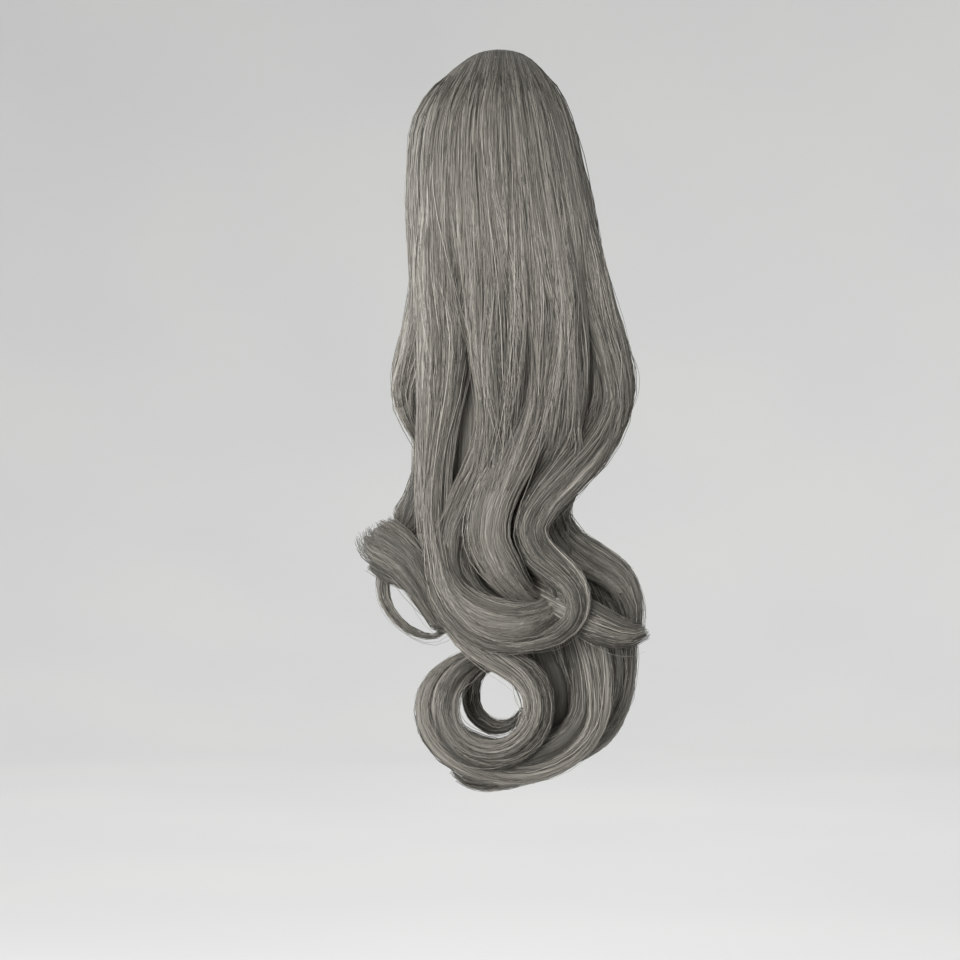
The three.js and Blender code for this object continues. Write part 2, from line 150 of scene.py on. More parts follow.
def smoothRun(points, step):
    # centripetal curve through rows of points, sampled about every step, with each sample's row number
    points = np.asarray(points, float)
    ends = np.vstack([2 * points[0] - points[1], points, 2 * points[-1] - points[-2]])
    samples, rowOf = [], []
    for i in range(len(points) - 1):
        p = ends[i:i + 4]
        knots = np.concatenate([[0], np.cumsum(np.linalg.norm(np.diff(p, axis=0), axis=1) ** 0.5)])
        count = max(2, int(round(np.linalg.norm(p[2] - p[1]) / step)))
        t = np.linspace(knots[1], knots[2], count, endpoint=False)[:, None]

        def mix(a, b, ka, kb):
            return a * (kb - t) / (kb - ka) + b * (t - ka) / (kb - ka)

        a = [mix(p[j], p[j + 1], knots[j], knots[j + 1]) for j in range(3)]
        b = [mix(a[j], a[j + 1], knots[j], knots[j + 2]) for j in range(2)]
        samples.append(mix(b[0], b[1], knots[1], knots[2]))
        rowOf.append(i + np.arange(count) / count)
    samples.append(points[-1:])
    rowOf.append([len(points) - 1])
    return np.vstack(samples), np.concatenate(rowOf)


bodyCurve, _ = smoothRun(bodyRows, curveStep["body"])


def bodyAt(up):
    # left, right, front and back of the body at a height
    return [np.interp(-np.asarray(up, float), -bodyCurve[:, 0], bodyCurve[:, i]) for i in (1, 2, 3, 4)]


def bodyPoint(angle, reach, up):
    # a point on the body's rounded section, angle 90 degrees to the front
    left, right, front, back = bodyAt(up)
    side, face = np.cos(angle), np.sin(angle)
    x = (left + right) / 2 + reach * (right - left) / 2 * np.sign(side) * np.abs(side) ** squareness
    out = (front + back) / 2 + reach * (front - back) / 2 * np.sign(face) * np.abs(face) ** squareness
    return np.stack([x, -out, up + 0 * x], axis=-1)


def bodyAngle(place):
    # where a point lies round the body: the opposite of bodyPoint
    left, right, front, back = bodyAt(place[..., 2])
    side = (place[..., 0] - (left + right) / 2) / ((right - left) / 2)
    face = (-place[..., 1] - (front + back) / 2) / ((front - back) / 2)
    side = np.sign(side) * np.abs(side) ** (1 / squareness)
    face = np.sign(face) * np.abs(face) ** (1 / squareness)
    return np.arctan2(face, side), np.hypot(side, face) ** squareness


rootLook = dict(
    heights=(0, -45), size=0.8, pull=0.94,  # a crown lock's sections under the crown's surface
    insideRise=40, insideSize=0.35, insideOut=45, insidePull=0.45,  # the other locks' starts inside the body
)
curlLook = dict(step=18, late=1.5)  # degrees between a curl's sections, and how late its size changes


def lockRows(shape):
    # the rows of a lock, with those of its root under the crown and of its end curl worked out
    rows = [tuple(map(float, row)) for row in shape["rows"]]
    if shape["crown"]:
        across, up, out, wide, thick = rows[0]
        left, right, front, back = bodyAt(up)
        side = (across - (left + right) / 2) / (right - left) * 2
        face = (out - (front + back) / 2) / (front - back) * 2
        for height in rootLook["heights"][::-1]:
            left, right, front, back = bodyAt(height)
            rows.insert(0, (
                (left + right) / 2 + side * (right - left) / 2 * rootLook["pull"], height,
                (front + back) / 2 + face * (front - back) / 2 * rootLook["pull"],
                wide * rootLook["size"], thick * rootLook["size"]))
    elif shape.get("root", True):
        across, up, out, wide, thick = rows[0]
        size = rootLook["insideSize"]
        inside = out + rootLook["insidePull"] * (rootLook["insideOut"] - out)
        rows.insert(0, (across, up + rootLook["insideRise"], inside, size * wide, size * thick))
    if "curl" not in shape:
        return np.array(rows)
    curl, bulge, start = shape["curl"], shape["bulge"], rows[-1]
    armX, armZ = start[0] - curl["across"], (start[1] - curl["up"]) / curl["flat"]
    steps = math.ceil(abs(curl["turn"]) / curlLook["step"])
    for i in range(1, steps + 1):
        share = i / steps
        angle = math.atan2(armZ, armX) + math.radians(curl["turn"]) * share
        radius = math.hypot(armX, armZ) * (1 - share) + curl["radius"] * share
        late, swell = share ** curlLook["late"], math.sin(math.pi * share)
        rows.append((
            curl["across"] + radius * math.cos(angle),
            curl["up"] + radius * math.sin(angle) * curl["flat"],
            start[2] + (curl["out"] - start[2]) * late + bulge["out"] * swell,
            start[3] + (curl["wide"] - start[3]) * late + bulge["wide"] * swell,
            start[4] + (curl["thick"] - start[4]) * late,
        ))
    return np.array(rows)


paceLook = dict(straight=23, turn=1.45)  # mm between rings on a straight, and rings for each radian


def lockRun(shape):
    # the middle line of a lock with its width, thickness and the two directions of its oval, in mm
    rows = lockRows(shape)
    places = np.column_stack([rows[:, 0], -rows[:, 2], rows[:, 1]])
    middle, rowOf = smoothRun(places, curveStep["lock"])
    forward = np.gradient(middle, axis=0)
    forward /= np.linalg.norm(forward, axis=1)[:, None]
    # the wide side faces front
    wideWay = np.column_stack([-forward[:, 2], 0 * forward[:, 0], forward[:, 0]])
    wideWay /= np.linalg.norm(wideWay, axis=1)[:, None]
    steps = np.linalg.norm(np.diff(middle, axis=0), axis=1)
    turns = np.arccos(np.clip((forward[1:] * forward[:-1]).sum(axis=1), -1, 1))
    rowNumbers = np.arange(len(rows))
    return dict(
        middle=middle,
        wideWay=wideWay,
        thickWay=np.cross(forward, wideWay),
        wide=np.interp(rowOf, rowNumbers, rows[:, 3]),
        thick=np.interp(rowOf, rowNumbers, rows[:, 4]),
        length=np.concatenate([[0], np.cumsum(steps)]),
        pace=np.concatenate([[0], np.cumsum(steps / paceLook["straight"] + turns * paceLook["turn"])]),
    )


def along(run, name, at):
    # a value of the run at the given lengths
    values = run[name]
    if values.ndim == 1:
        return np.interp(at, run["length"], values)
    return np.stack([np.interp(at, run["length"], values[:, i]) for i in range(3)], axis=-1)


def offMiddle(run, at, wide, thick):
    # places beside the middle line of a run
    return (along(run, "middle", at) + along(run, "wideWay", at) * wide[..., None]
            + along(run, "thickWay", at) * thick[..., None])


def towardFront(turn, pull):
    # gather turns round a lock on its front side
    return turn - pull * np.sin(turn - np.pi / 2)


def lengthAtHeight(run, up):
    # how far along a lock it first comes down to a height
    heights = np.minimum.accumulate(run["middle"][:, 2])
    return np.interp(-np.asarray(up, float), -heights, run["length"])


backLook = dict(
    count=6, top=-90, swing=0.2, reach=0.9, thick=15, strands=90, parts=5,
    overlap=1.3, sideWidth=0.35, tip=0.4,  # times a lock's share of the body, at the sides, at the end
)


def backLock(index):
    # a lock down the back, placed round the body's section and narrower at its sides
    look = backLook
    rows = bodyRows[bodyRows[:, 0] <= look["top"]]
    made = []
    for i, (up, left, right, front, back) in enumerate(rows):
        wave = look["swing"] * math.sin(2 * i + index)
        taper = 1 if i < len(rows) - 1 else look["tip"]
        turn = -math.pi * (1 - (index + 0.5 + wave) / look["count"])
        across, out, up = bodyPoint(turn, look["reach"], up)
        facing = look["sideWidth"] + (1 - look["sideWidth"]) * abs(math.sin(turn))
        wide = look["overlap"] * (right - left) / look["count"] * facing
        made.append((across, up, -out, wide * taper, look["thick"] * taper))
    return dict(crown=False, strands=look["strands"], parts=look["parts"], rows=made)


allLocks = dict(locks, **{f"back{i}": backLock(i) for i in range(backLook["count"])})


def newMesh(name, verts, faceGroups, attributes):
    # a smooth-shaded mesh from arrays: faceGroups holds an array for each number of corners
    mesh = bpy.data.meshes.new(name)
    mesh.vertices.add(len(verts))
    mesh.vertices.foreach_set("co", verts.astype(np.float32).ravel())
    corners = np.concatenate([faces.ravel() for faces in faceGroups]).astype(np.int32)
    mesh.loops.add(len(corners))
    mesh.loops.foreach_set("vertex_index", corners)
    sizes = np.concatenate([np.full(len(faces), faces.shape[1]) for faces in faceGroups])
    mesh.polygons.add(len(sizes))
    mesh.polygons.foreach_set("loop_start", np.concatenate([[0], np.cumsum(sizes)[:-1]]).astype(np.int32))
    mesh.polygons.foreach_set("use_smooth", np.ones(len(sizes), bool))
    mesh.update(calc_edges=True)
    for key, values in attributes.items():
        vector = values.ndim == 2
        attribute = mesh.attributes.new(key, "FLOAT_VECTOR" if vector else "FLOAT", "POINT")
        attribute.data.foreach_set("vector" if vector else "value", values.astype(np.float32).ravel())
    piece = bpy.data.objects.new(name, mesh)
    bpy.context.scene.collection.objects.link(piece)
    print(name, sum(len(faces) * (faces.shape[1] - 2) for faces in faceGroups), "triangles")
    return piece


partLook = dict(
    count=7,  # parts of a lock, the first in its middle
    reach=0.53, wide=0.52, thick=0.5,  # shares of the lock's oval
    swing=0.42, wave=150, waves=(0.8, 1.5),  # radians and mm of a part's wandering round the lock
    uneven=0.2, reaches=(0.9, 1.08), sizes=(0.85, 1.15),  # how the parts differ
    middle=0.15, middleWave=(0.1, 45), reachWave=(0.12, 31), sizeWave=(0.1, 37),  # shares, and mm
    ends=0.16, tip=0.14, tipSize=0.1, strandTip=0.3, tipCurve=0.7,  # shares of the length
    bluntEnds=(0.015, 0.04), bluntTip=0.05, bluntSize=0.02, bluntCurve=0.5,
    mixed=0.14,  # spread of the parts' tones
)
# a crown lock comes up through the crown's surface between these heights, each part at its own
riseLook = dict(top=-38, low=-125, under=0.95, spread=(-50, 8), strandOver=0.015, toneFade=120)


def ease(share):
    # from 0 to 1 with a gentle start and end
    return share * share * (3 - 2 * share)


def splitLock(shape):
    # the parts that a lock divides into, each a run of its own along the lock
    look = partLook
    run = lockRun(shape)
    length = run["length"]
    share = length / length[-1]
    count, tip, blunt = shape.get("parts", look["count"]), shape.get("tip", look["tip"]), shape.get("blunt")
    first = rng.uniform(0, 2 * np.pi)
    parts = []

    def sway(name, phase):
        strength, wave = look[name]
        return strength * np.sin(length / wave + phase)

    for k in range(count):
        turn, phase, lift = rng.uniform(0, 2 * np.pi, 3)
        angle = first + 2 * np.pi * (k + rng.uniform(-look["uneven"], look["uneven"])) / (count - 1)
        wave = look["wave"] * rng.uniform(*look["waves"])
        angle = angle + look["swing"] * np.sin(2 * np.pi * length / wave + turn)
        reach = look["reach"] * rng.uniform(*look["reaches"]) * (1 + sway("reachWave", phase))
        if k == 0:
            reach = look["middle"] + sway("middleWave", phase)
        end = 1 if k == 0 else 1 - look["ends"] * rng.uniform(0, 1) ** 2
        taper = np.clip((end - share) / tip, look["tipSize"], 1) ** look["tipCurve"]
        strandTaper = np.clip((end - share) / tip, look["strandTip"], 1) ** look["tipCurve"]
        if blunt:
            end = 1 - rng.uniform(*look["bluntEnds"])
            taper = np.clip((end - share) / look["bluntTip"], look["bluntSize"], 1) ** look["bluntCurve"]
            strandTaper = 1
        size = rng.uniform(*look["sizes"]) * (1 + sway("sizeWave", lift))
        middle = (run["middle"] + run["wideWay"] * (reach * np.cos(angle) * run["wide"] / 2)[:, None]
                  + run["thickWay"] * (reach * np.sin(angle) * run["thick"] / 2)[:, None])
        size = size * shape.get("partSize", look["wide"]) / look["wide"]
        wide, thick = run["wide"] * look["wide"] * size, run["thick"] * look["thick"] * size
        # a part's tone: the lock's own tone and painted shade, with a random spread
        tone = shape.get("paintedShadeAndTone", 0) + rng.normal(0, shape.get("mixed", look["mixed"]))
        rise = rng.uniform(*shape.get("spread", riseLook["spread"]))
        parts.append(dict(run, middle=middle, wide=wide * taper, thick=thick * taper, end=end * length[-1],
                          strandWide=wide * strandTaper, strandThick=thick * strandTaper,
                          tone=tone, rise=rise, crown=shape["crown"], blunt=blunt,
                          contrast=shape.get("contrast", 1)))
    return parts


def risen(points, rise, over=0):
    # keep a crown lock under the crown's surface at first, and let it out slowly
    angle, out = bodyAngle(points)
    free = (riseLook["top"] + rise - points[..., 2]) / (riseLook["top"] - riseLook["low"])
    under = np.minimum(out, riseLook["under"] + over)
    held = bodyPoint(angle, under + (out - under) * ease(np.clip(free, 0, 1)), points[..., 2])
    return np.where((out > under)[..., None], held, points)


# surfaces of the body and of the locks' parts, with ridges where the fibre gathers
surfaceLook = dict(
    sides=16, step=8, fewest=10,  # step in mm, rings at least
    ridges=(2, 3, 5), ridgeDepth=(0.05, 0.06, 0.05), ridgeDrift=1.6, ridgeBends=5, ridgeMore=6,
    bodySides=150, bodyRings=70, bodyShare=0.985, bodyTall=390,  # mm
    bodyRidges=(17, 29, 47), bodyDepth=(0.006, 0.005, 0.004), bodyDrift=0.4,
    flowStretch=0.02,  # streaks are fifty times as long as they are wide
    flowRadius=60, flowShift=20, partShift=31.7,  # so that no two surfaces show the same streaks
)
# painted shade by height, added to the fibre's tones: darkest over the top of the crown
paintedShadeLook = dict(
    heights=(-330, -230, -80, -25, 5, 28, 45),
    tones=(-0.06, -0.02, 0, -0.12, -0.2, -0.42, -0.62),
)


def paintedHeightShade(up):
    # painted shade: darker over the top, which faces away from the front lamps, with darker roots, and a
    # little at the ends
    return np.interp(up, paintedShadeLook["heights"], paintedShadeLook["tones"])


def ridged(angle, share, counts, depths, drift):
    # a radius near 1 with ridges that wander as they run
    look = surfaceLook
    radius = 1 + 0 * (angle + share)
    for count, depth in zip(counts, depths):
        phase, bend = rng.uniform(0, 2 * np.pi, 2)
        wander = drift * np.sin(share * look["ridgeBends"] + bend) * (1 + count / look["ridgeMore"])
        radius = radius + depth * np.cos(count * angle + phase + wander)
    return radius


def tubeFaces(rings, sides, base):
    # four-sided faces round a tube, and the triangles of its two caps
    number = base + np.arange(rings * sides).reshape(rings, sides)
    a, b = number[:-1], number[1:]
    quads = np.stack([a, np.roll(a, -1, 1), np.roll(b, -1, 1), b], axis=-1).reshape(-1, 4)
    first, last = base + rings * sides, base + rings * sides + 1
    caps = [(first, number[0, (j + 1) % sides], number[0, j]) for j in range(sides)]
    caps += [(last, number[-1, j], number[-1, (j + 1) % sides]) for j in range(sides)]
    return quads, np.array(caps)


def partSurface(part, index):
    # points of a part's surface, with their places in the streaks and their tones, painted shade included
    look = surfaceLook
    total = part["end"]
    at = np.linspace(0, total, max(look["fewest"], int(total / look["step"])))[:, None]
    angle = np.arange(look["sides"])[None] * 2 * np.pi / look["sides"]
    reach = ridged(angle, at / total, look["ridges"], look["ridgeDepth"], look["ridgeDrift"])
    wide = along(part, "wide", at) / 2 * reach * np.cos(angle)
    thick = along(part, "thick", at) / 2 * reach * np.sin(angle)
    points = offMiddle(part, at, wide, thick)
    if part["crown"]:
        points = risen(points, part["rise"])
    girth = along(part, "wide", at) / 2
    flow = np.stack([girth * np.cos(angle), girth * np.sin(angle),
                     at * look["flowStretch"] + look["partShift"] * index + 0 * angle], axis=-1)
    tone = part["tone"]
    if part["crown"]:
        tone = tone * np.clip((riseLook["top"] - points[..., 2]) / riseLook["toneFade"], 0, 1)
    # the tones carry painted shade by height
    return points, flow, tone + paintedHeightShade(points[..., 2])


def bodySurface():
    # the same for the whole body
    look = surfaceLook
    count = len(bodyCurve)
    up = np.interp(np.linspace(0, count - 1, look["bodyRings"]), np.arange(count), bodyCurve[:, 0])[:, None]
    angle = np.arange(look["bodySides"])[None] * 2 * np.pi / look["bodySides"]
    share = (bodyRows[0, 0] - up) / look["bodyTall"]
    reach = look["bodyShare"] * ridged(angle, share, look["bodyRidges"], look["bodyDepth"], look["bodyDrift"])
    points = bodyPoint(angle, reach, up)
    # the body's tone is painted shade by height alone
    tone = paintedHeightShade(up) + 0 * angle
    radius = look["flowRadius"]
    flow = np.stack([radius * np.cos(angle) + 0 * up, radius * np.sin(angle) + 0 * up,
                     -up * look["flowStretch"] - look["flowShift"] + 0 * angle], axis=-1)
    return points, flow, tone


def joinSurfaces(name, tubes):
    # one mesh of several closed tubes
    verts, flows, tones, quads, caps, base = [], [], [], [], [], 0
    for points, flow, tone in tubes:
        rings, sides = points.shape[:2]
        verts += [points.reshape(-1, 3), points[0].mean(axis=0)[None], points[-1].mean(axis=0)[None]]
        flows += [flow.reshape(-1, 3), flow[0].mean(axis=0)[None], flow[-1].mean(axis=0)[None]]
        tone = np.broadcast_to(tone, (rings, sides))
        tones.append(np.concatenate([tone.ravel(), tone[[0, -1], 0]]))
        roundFaces, capFaces = tubeFaces(rings, sides, base)
        quads.append(roundFaces)
        caps.append(capFaces)
        base += rings * sides + 2
    return newMesh(name, np.vstack(verts) * mm, [np.vstack(quads), np.vstack(caps)],
                   dict(flow=np.vstack(flows), tone=np.concatenate(tones)))


# strands that lie on the surfaces
strandLook = dict(
    more=1.4,  # on the counts beside the locks: about half of the strands are hidden and left out
    radius=0.22,  # mm, coarser than a real fibre so that a strand shows in the render
    kinds=(0.6, 0.22, 0.18), kindTones=(0, -0.32, 0.26), kindSizes=(0.9, 1.4, 1.05),
    tone=0.66, toneSpread=0.16, sizes=(0.75, 1.25),
    clumps=((2, 0.1), (5, 0.12), (9, 0.08)), clumpTurn=2.1,  # waves of tone round a part, strength
    reach=(1.02, 1.13), frontPull=0.4,  # times a part's size, and how they gather on its front
    spread=0.5, wobble=0.6, wobbles=(55, 150), thinner=0.5,  # mm, and less through the lock than across
    twist=0.5, twistWave=70,  # radians, mm
    crossShare=0.2, crossFrom=(0.25, 0.8), crossOver=0.2,  # strands that leave one part for another
    strayShare=0.06, strayReach=2.6, strayWaves=(1.5, 4),  # mm
    starts=25, crownStart=-38, crownStarts=20,  # mm, crown locks' strands start inside the crown
    past=1.03, endSpread=0.12, bluntSpread=0.035,  # of the length over which the ends are cut
    fewest=6,  # rings
)


def strandKinds(count):
    # a tone and a radius for each strand: some are dark or light clumps of several fibres
    look = strandLook
    kind = rng.choice(3, count, p=look["kinds"])
    tone = look["tone"] + np.array(look["kindTones"])[kind] + rng.normal(0, look["toneSpread"], count)
    return tone, look["radius"] * np.array(look["kindSizes"])[kind] * rng.uniform(*look["sizes"], count)


def growLock(parts, count):
    # strands of one lock: points, radii and tones, each as (strand, ring)
    look = strandLook
    run = parts[0]
    crown = run["crown"]
    total = run["length"][-1]
    # the part that each strand is of, and the one that some of them cross to
    of = rng.integers(0, len(parts), count)
    to = np.where(rng.uniform(0, 1, count) < look["crossShare"], rng.integers(0, len(parts), count), of)
    crossAt = rng.uniform(*look["crossFrom"], count)[:, None]
    turn = rng.uniform(0, 2 * np.pi, count)
    turn = towardFront(turn, look["frontPull"])[:, None]
    reach = rng.uniform(*look["reach"], count)[:, None]
    own = rng.normal(0, look["spread"], (2, count, 1))
    phase = rng.uniform(0, 2 * np.pi, (3, count, 1))
    wave = rng.uniform(*look["wobbles"], (2, count, 1))
    stray = (rng.uniform(0, 1, count) < look["strayShare"]) * rng.normal(0, look["strayReach"], (2, count))
    partEnds = np.array([part["end"] for part in parts])
    cut = 1 - look["endSpread"] * rng.uniform(0, 1, count) ** 2
    ends = np.minimum(partEnds[of] * look["past"], total) * cut
    if run["blunt"]:
        ends = total * (1 - look["bluntSpread"] * rng.uniform(0, 1, count))
    starts = rng.uniform(0, look["starts"], count)
    if crown:
        starts = lengthAtHeight(run, look["crownStart"]) - rng.uniform(0, look["crownStarts"], count)
    firstPace = np.interp(starts, run["length"], run["pace"])
    lastPace = np.interp(ends, run["length"], run["pace"])
    rings = max(look["fewest"], int(math.ceil(run["pace"][-1] - firstPace.min())))
    pace = firstPace[:, None] + (lastPace - firstPace)[:, None] * np.linspace(0, 1, rings)
    at = np.interp(pace, run["pace"], run["length"])
    share = at / total

    def pick(name, number):
        values = np.stack([along(part, name, at) for part in parts])
        return values[number, np.arange(count)]

    change = ease(np.clip((share - crossAt) / look["crossOver"], 0, 1))

    def blend(name):
        weight = change[..., None] if run[name].ndim == 2 else change
        return pick(name, of) * (1 - weight) + pick(name, to) * weight

    loose = np.sin(np.pi * (share * rng.uniform(*look["strayWaves"], (count, 1)) + phase[2])) ** 2
    around = turn + look["twist"] * np.sin(at / look["twistWave"] + phase[2])
    sway = [look["wobble"] * np.sin(at / wave[i] * 2 * np.pi + phase[i]) for i in (0, 1)]
    wide = reach * np.cos(around) * blend("strandWide") / 2 + own[0] + sway[0] + stray[0][:, None] * loose
    thick = (reach * np.sin(around) * blend("strandThick") / 2
             + look["thinner"] * (own[1] + sway[1]) + stray[1][:, None] * loose)
    points = (blend("middle") + along(run, "wideWay", at) * wide[..., None]
              + along(run, "thickWay", at) * thick[..., None])
    tone, radius = strandKinds(count)
    tone = tone + np.array([part["tone"] for part in parts])[of]
    for waves, strength in look["clumps"]:
        tone = tone + run["contrast"] * strength * np.sin(waves * turn[:, 0] + look["clumpTurn"] * of)
    if crown:
        rise = np.array([part["rise"] for part in parts])[of][:, None]
        points = risen(points, rise, riseLook["strandOver"])
    return strandSet(points, radius, tone)


def surfaceTree(tubes):
    # a tree of all the surfaces for strands to lie on, with each face's way along its lock
    verts, faces, ways, base = [], [], [], 0
    for points, flow, tone in tubes:
        rings, sides = points.shape[:2]
        verts.append(points.reshape(-1, 3))
        faces.append(tubeFaces(rings, sides, base)[0])
        ways.append((points[1:] - points[:-1]).reshape(-1, 3))
        base += rings * sides
    ways = np.vstack(ways)
    ways /= np.linalg.norm(ways, axis=1)[:, None] + 1e-9
    return BVHTree.FromPolygons(np.vstack(verts).tolist(), np.vstack(faces).tolist()), ways


shownLook = dict(samples=7, away=2.5, share=0.2)  # away in mm
shownWays = [Vector((math.sin(turn), -math.cos(turn), 0)) for turn in np.arange(8) * math.pi / 4]


def shown(points, surface):
    # which strands can be seen from some side: the others are left out
    look = shownLook
    keep = np.zeros(len(points), bool)
    rings = np.linspace(0, points.shape[1] - 1, look["samples"]).astype(int)
    for number, strand in enumerate(points[:, rings].tolist()):
        seen = 0
        for place in map(Vector, strand):
            seen += any(surface.ray_cast(place + look["away"] * way, way)[0] is None for way in shownWays)
        keep[number] = seen >= look["share"] * len(rings)
    return keep


# strands combed over the crown: from the top down over whatever lies outermost, along its fibre
coverLook = dict(
    count=2860, frontShare=0.74, spread=(-0.05, 1.05),  # of half a turn
    heights=(20, 11, 0, -13), step=14, low=-330,  # mm
    ends=(-90, -330), lift=(0.3, 1.0), flyShare=0.05, fly=2.2, flyWave=3, jump=7,  # mm
    drift=0.1, wobble=0.006, wobbles=(6, 14), lean=0.0009,  # radians, and radians for each mm
    ledFrom=-12, level=0.4,  # mm where the fibre starts to lead, and the least fall of fibre that leads
    cast=2.4,  # times the body's size, where the rays start
    streaks=((0.8, 0.08), (3, 0.03), (10, 0.06)), girth=60, noise=600, tones=(0.1, 1.0),  # mm, strength
    fewest=5,  # rings
)
# the way over the top, mm
crestLook = dict(low=27.5, pull=0.4, behind=24, before=42, shares=(0, 0.16, 0.32, 0.5, 0.75, 1),
                 uneven=(1, 1.5), tip=3, cast=80)
# strands that meet the clip's room end above it or start below it, mm
clearLook = dict(half=24, out=42, top=33.3, low=-39, edge=-34, uneven=4, aboveShare=0.25)
# strands lie over narrow gaps at these heights, aside is in radians and the rest in mm
bridgeLook = dict(heights=(-190, -105, -85, -40), shares=(0, 1, 1, 0), aside=0.06, most=6)
crownNoise = rng.normal(0, 1, coverLook["noise"])


def smoothSideways(lines, normals):
    # even out a strand's turns along the surface, not its height over it
    for turn in range(2):
        change = np.zeros_like(lines)
        change[:, 1:-1] = 0.25 * (lines[:, :-2] + lines[:, 2:]) - 0.5 * lines[:, 1:-1]
        lines = lines + change - normals * (change * normals).sum(axis=2)[..., None]
    return lines


def crestStarts(surface, angle, drift, front, lift):
    # the first points of each strand, over the crest or below the clip's room
    crest, clear = crestLook, clearLook
    count = len(angle)
    nearClip = bodyPoint(angle, 1, np.zeros(count))
    nearClip = (np.abs(nearClip[:, 0]) < clear["half"]) & (nearClip[:, 1] > -clear["out"])
    over = bodyPoint(angle + drift * crest["low"] / bodyRows[0, 0], 1, np.full(count, crest["low"]))
    depth = np.where(front, -crest["behind"], -crest["before"])
    start = np.column_stack([over[:, 0] * crest["pull"] + rng.normal(0, crest["uneven"][0], count),
                             depth + rng.normal(0, crest["uneven"][1], count)])
    above = nearClip & (rng.uniform(0, 1, count) < clear["aboveShare"])
    below = nearClip & ~above
    edge = clear["edge"] - rng.uniform(0, clear["uneven"], count)
    traces, normals = [[] for k in range(count)], [[] for k in range(count)]
    for k in np.flatnonzero(below):
        outer, inner = bodyPoint(angle[k], coverLook["cast"], edge[k]), bodyPoint(angle[k], 0, edge[k])
        place, normal, face, far = surface.ray_cast(Vector(outer), Vector(inner - outer))
        traces[k].append(np.array(place))
        normals[k].append(np.array(normal))
    for k in np.flatnonzero(~below):
        for share in crest["shares"]:
            x, y = start[k] + (over[k, :2] - start[k]) * share
            place, normal, face, far = surface.ray_cast(Vector((x, y, crest["cast"])), Vector((0, 0, -1)))
            if place is None or place.z < crest["low"] - crest["tip"]:  # over the open tip
                place, normal = Vector((x, y, bodyRows[0, 0])), Vector((0, 0, 1))
            if not (above[k] and place.z < clear["top"]):
                traces[k].append(np.array(place + normal * lift[k]))
                normals[k].append(np.array(normal))
    return traces, normals, above, below


def coverSets(traces, normals, front, first):
    # the traced strands by side, those with as many rings together
    look, girth = coverLook, coverLook["girth"]
    tone, radius = strandKinds(len(traces))
    for width, strength in look["streaks"]:
        noise = crownNoise[: int(2 * np.pi * girth / width)]
        tone = tone + strength * np.interp((first + np.pi) * girth / width, np.arange(len(noise)), noise)
    tone = np.clip(tone, *look["tones"])
    sides = np.where(front, np.where(np.cos(first) < 0, "left", "right"), "back")
    sets = dict(left=[], right=[], back=[])
    lengths = np.array([len(trace) for trace in traces])
    for rings in range(look["fewest"], lengths.max() + 1):
        for side in sets:
            these = np.flatnonzero((lengths == rings) & (sides == side))
            if len(these):
                lines, across = [np.array([values[k] for k in these]) for values in (traces, normals)]
                sets[side].append(strandSet(smoothSideways(lines, across), radius[these], tone[these]))
    return sets


def coverStrands(surface, ways):
    # trace the strands down from height to height
    look, clear, aside = coverLook, clearLook, bridgeLook["aside"]
    count = look["count"]
    heights = np.array(look["heights"], float)
    heights = np.concatenate([heights, np.arange(heights[-1] - look["step"], look["low"], -look["step"])])
    front = rng.uniform(0, 1, count) < look["frontShare"]
    angle = rng.uniform(*look["spread"], count) * np.pi
    angle = np.where(front, angle, -angle)
    first = angle.copy()
    drift = rng.normal(0, look["drift"], count)
    lean = rng.normal(0, look["lean"], count)
    phase, wave = rng.uniform(0, 2 * np.pi, count), rng.uniform(*look["wobbles"], count)
    ends = rng.uniform(look["ends"][1], look["ends"][0], count)
    lift = rng.uniform(*look["lift"], count)
    fly = (rng.uniform(0, 1, count) < look["flyShare"]) * look["fly"]
    traces, normals, above, below = crestStarts(surface, angle, drift, front, lift)
    going = np.ones(count, bool)
    ahead = np.zeros((count, 3))
    flow = np.zeros((count, 3))
    for i, up in enumerate(heights):
        wander = drift * max(0, up) / bodyRows[0, 0] + look["wobble"] * np.sin(up / wave + phase)
        outer, left, right = [bodyPoint(angle + wander + turn, look["cast"], up + 0 * angle)
                              for turn in (0, -aside, aside)]
        inner = bodyPoint(angle, 0, up + 0 * angle)
        share = np.interp(up, bridgeLook["heights"], bridgeLook["shares"])
        for k in np.flatnonzero(going):
            if below[k] and up > clear["low"]:
                continue
            if above[k] and up < clear["top"]:
                going[k] = False
                continue
            place, normal, face, far = surface.ray_cast(Vector(outer[k]), Vector(inner[k] - outer[k]))
            if place is None:
                going[k] = False
                continue
            bridge = 0
            if share > 0:  # lie over a narrow gap, near the height of the hair beside it
                near = [surface.ray_cast(Vector(side[k]), Vector(inner[k] - side[k]))[3]
                        for side in (left, right)]
                bridge = share * min(max(0, *[far - n for n in near if n]), bridgeLook["most"])
            flow[k] = 0.5 * flow[k] + 0.5 * ways[face] if ahead[k].any() else ways[face]
            leap = ahead[k].any() and np.linalg.norm(ahead[k] - place) > look["jump"]
            level = flow[k, 2] > -look["level"] * np.linalg.norm(flow[k])
            if up < ends[k] or (up < look["heights"][-1] and (leap or level)):
                going[k] = False
                continue
            reach = lift[k] + fly[k] * math.sin(up / wave[k] / look["flyWave"] + phase[k]) ** 2
            away = (outer[k] - inner[k]) / np.linalg.norm(outer[k] - inner[k])
            traces[k].append(np.array(place) + np.array(normal) * reach + away * bridge)
            normals[k].append(np.array(normal))
            drop = heights[i + 1] - up if i + 1 < len(heights) else 0
            ahead[k] = np.array(place) + flow[k] * drop / flow[k, 2]
        led = going & ahead.any(axis=1) & (up < look["ledFrom"])
        if i + 1 < len(heights) and led.any():
            angle[led] = bodyAngle(ahead[led])[0] + lean[led] * look["step"]
    return coverSets(traces, normals, front, first)


